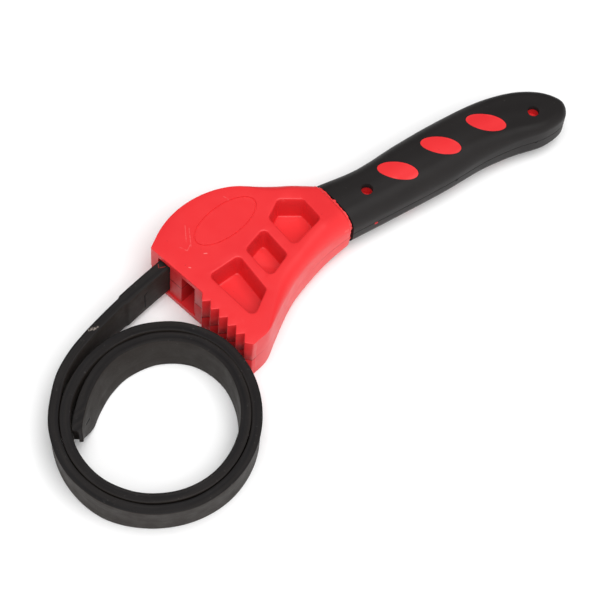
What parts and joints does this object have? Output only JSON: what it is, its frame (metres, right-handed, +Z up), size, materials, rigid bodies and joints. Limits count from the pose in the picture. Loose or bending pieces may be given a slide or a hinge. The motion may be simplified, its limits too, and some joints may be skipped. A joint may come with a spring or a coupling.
{
  "type": "strap wrench",
  "caption": "Rubber strap wrench for oil filters and jars: toothed red plastic head, black over-moulded handle and a coiled black rubber strap.",
  "frame": {"origin": "on the flat underside of the head, below the centre of the badge oval", "axes": "+X along the handle to its free end, +Y towards the convex back of the head, +Z up through the badge face"},
  "size_m": [0.3203, 0.1355, 0.032],
  "materials": {
    "red_plastic": "satin moulded plastic",
    "black_grip": "satin over-moulded grip",
    "rubber": "dusty matte rubber",
    "steel": "zinc plated"
  },
  "bodies": {
    "body": {"body_upper": "red_plastic", "body_lower": "red_plastic", "grip_upper": "black_grip", "grip_lower": "black_grip", "anchor_pin": "steel", "strap_end": "rubber", "head_screw_1": "steel", "head_screw_2": "steel", "head_screw_3": "steel", "handle_screw_1": "steel", "handle_screw_2": "steel"},
    "lead": {"strap_lead": "rubber"},
    "coil": {"strap_coil": "rubber"},
    "tail": {"strap_tail": "rubber"}
  },
  "joints": [
    {"name": "strap_swing", "type": "hinge", "parent": "body", "child": "lead", "pos_m": [-0.0401, -0.00292, 0.016], "axis": [0, 0, 1], "range_deg": [-35, 1], "stiffness_Nm_per_rad": 0.03},
    {"name": "coil_swing", "type": "hinge", "parent": "lead", "child": "coil", "pos_m": [-0.11387, -0.03064, 0.011], "axis": [0, 0, 1], "range_deg": [-25, 0], "stiffness_Nm_per_rad": 0.03},
    {"name": "tail_curl", "type": "hinge", "parent": "coil", "child": "tail", "pos_m": [-0.07605, -0.02805, 0.022], "axis": [0.0102, 0.1169, 0.9931], "range_deg": [-1, 25], "stiffness_Nm_per_rad": 0.03}
  ]
}
